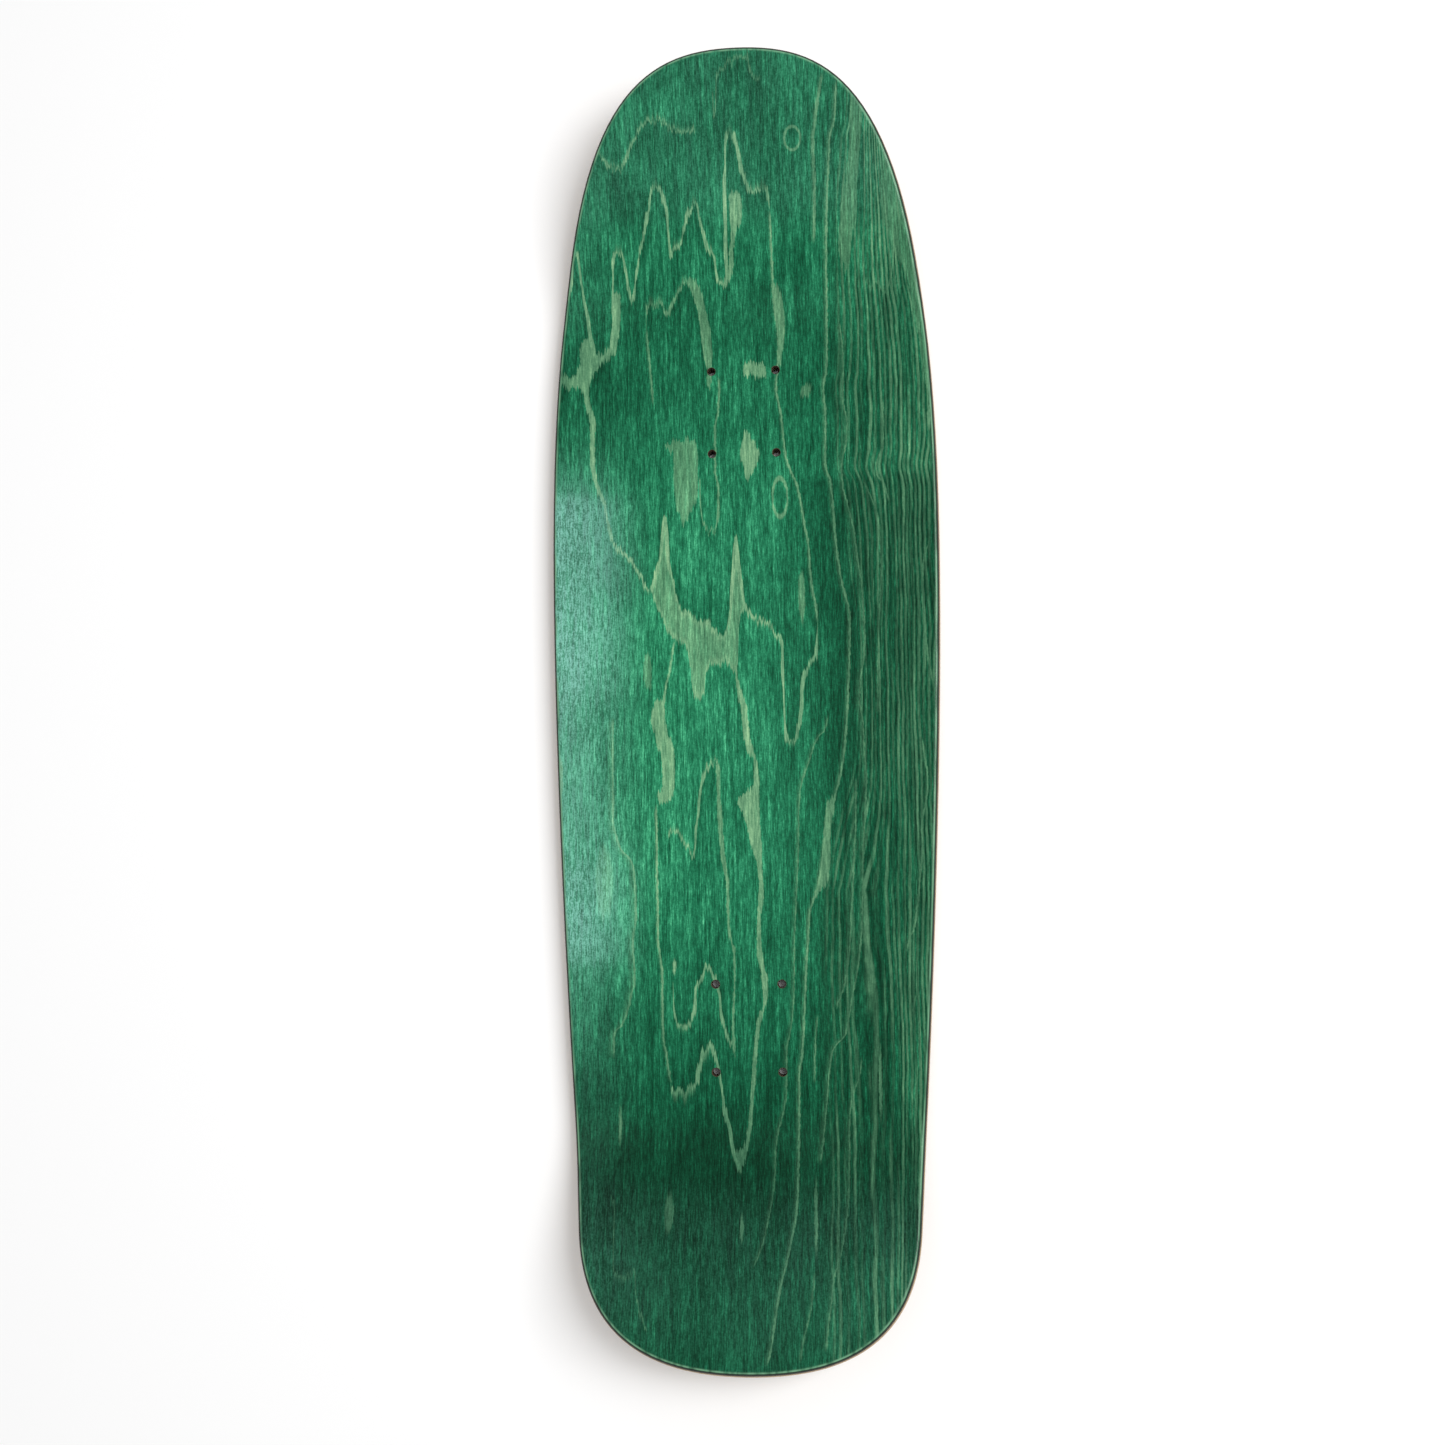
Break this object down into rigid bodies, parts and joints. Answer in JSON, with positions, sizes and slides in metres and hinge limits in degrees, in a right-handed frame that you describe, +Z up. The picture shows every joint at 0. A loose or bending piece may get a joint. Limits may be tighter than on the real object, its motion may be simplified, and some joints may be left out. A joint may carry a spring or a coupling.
{
  "type": "skateboard deck",
  "caption": "Bare wooden skateboard deck with an egg-shaped nose, squarer tail, dished rails and bolt holes for two trucks.",
  "frame": {"origin": "on the underside, in the flat middle, halfway between the two truck seats", "axes": "+Y towards the longer, egg-shaped nose, +Z up out of the stained standing face, +X to the right when looking from tail to nose"},
  "size_m": [0.2472, 0.8106, 0.0645],
  "materials": {
    "bottom_veneer": "clear satin lacquer over natural maple",
    "lower_core_ply": "sanded edge, long grain",
    "lower_cross_ply": "sanded edge, cross grain",
    "centre_ply": "sanded edge, long grain",
    "upper_cross_ply": "sanded edge, cross grain",
    "upper_core_ply": "dyed dark, sanded edge, long grain",
    "top_veneer": "green stain under satin lacquer"
  },
  "bodies": {
    "root": {"bottom_veneer": "bottom_veneer", "lower_core_ply": "lower_core_ply", "lower_cross_ply": "lower_cross_ply", "centre_ply": "centre_ply", "upper_cross_ply": "upper_cross_ply", "upper_core_ply": "upper_core_ply", "top_veneer": "top_veneer"}
  },
  "joints": []
}
